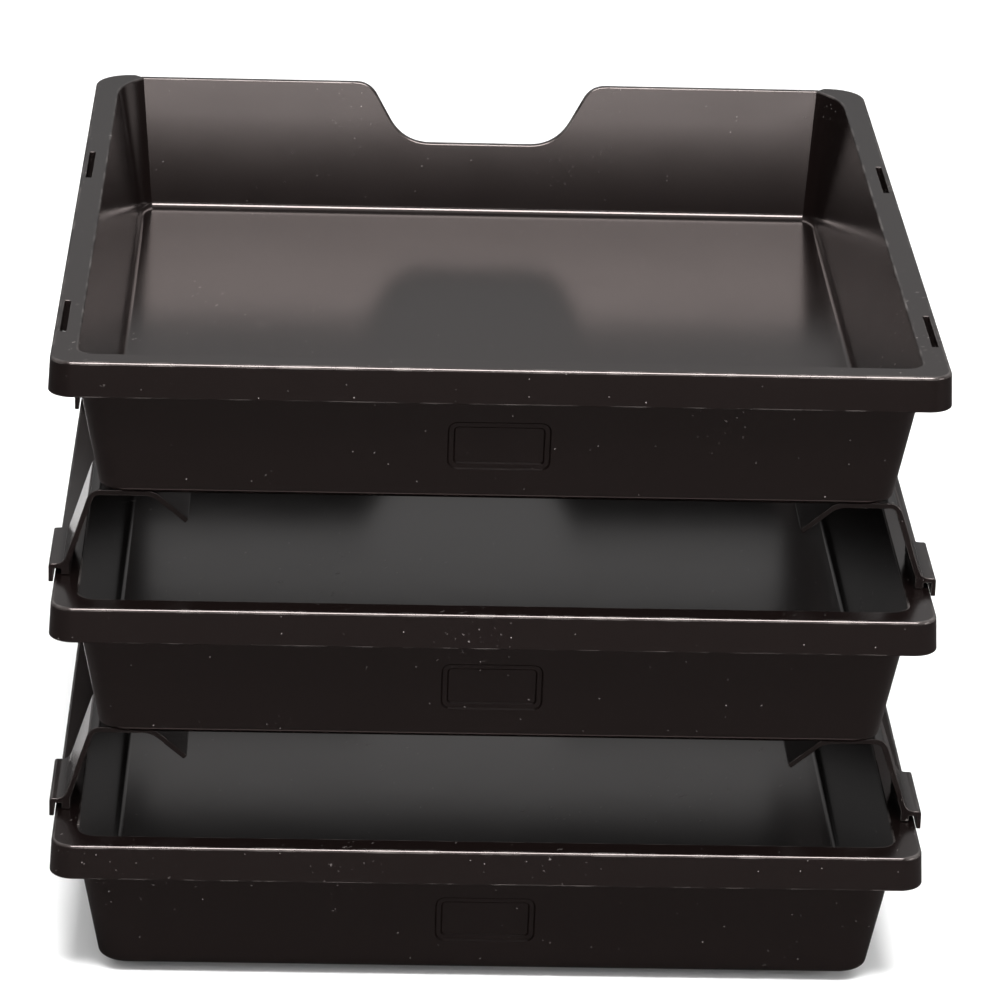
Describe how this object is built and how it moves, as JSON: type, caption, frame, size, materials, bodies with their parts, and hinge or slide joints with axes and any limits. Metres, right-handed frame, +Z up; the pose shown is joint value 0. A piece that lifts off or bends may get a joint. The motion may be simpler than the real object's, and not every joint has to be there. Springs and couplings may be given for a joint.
{
  "type": "letter tray",
  "caption": "Stacked desk letter trays with wide rims, each upper tray standing on clip-in risers, with a dip in every back panel for fingers.",
  "frame": {"origin": "on the table, under the middle of the trays", "axes": "+Z up, the front with the name plates faces -Y, +X to the right seen from the front"},
  "size_m": [0.3142, 0.3514, 0.2394],
  "materials": {
    "tray_plastic": "satin gloss, lightly scratched",
    "riser_plastic": "satin gloss"
  },
  "bodies": {
    "bottom_tray": {"bottom_tray": "tray_plastic"},
    "lower_risers": {"lower_front_right_riser": "riser_plastic", "lower_front_left_riser": "riser_plastic", "lower_rear_right_riser": "riser_plastic", "lower_rear_left_riser": "riser_plastic"},
    "middle_tray": {"middle_tray": "tray_plastic"},
    "upper_risers": {"upper_front_right_riser": "riser_plastic", "upper_front_left_riser": "riser_plastic", "upper_rear_right_riser": "riser_plastic", "upper_rear_left_riser": "riser_plastic"},
    "top_tray": {"top_tray": "tray_plastic"}
  },
  "joints": [
    {"name": "lower_risers_lift", "type": "slide", "parent": "bottom_tray", "child": "lower_risers", "axis": [0, 0, 1], "range_m": [0, 0.012]},
    {"name": "middle_tray_slide", "type": "slide", "parent": "lower_risers", "child": "middle_tray", "axis": [0, -1, 0], "range_m": [0, 0.1]},
    {"name": "upper_risers_lift", "type": "slide", "parent": "middle_tray", "child": "upper_risers", "axis": [0, 0, 1], "range_m": [0, 0.012]},
    {"name": "top_tray_slide", "type": "slide", "parent": "upper_risers", "child": "top_tray", "axis": [0, -1, 0], "range_m": [0, 0.1]}
  ]
}
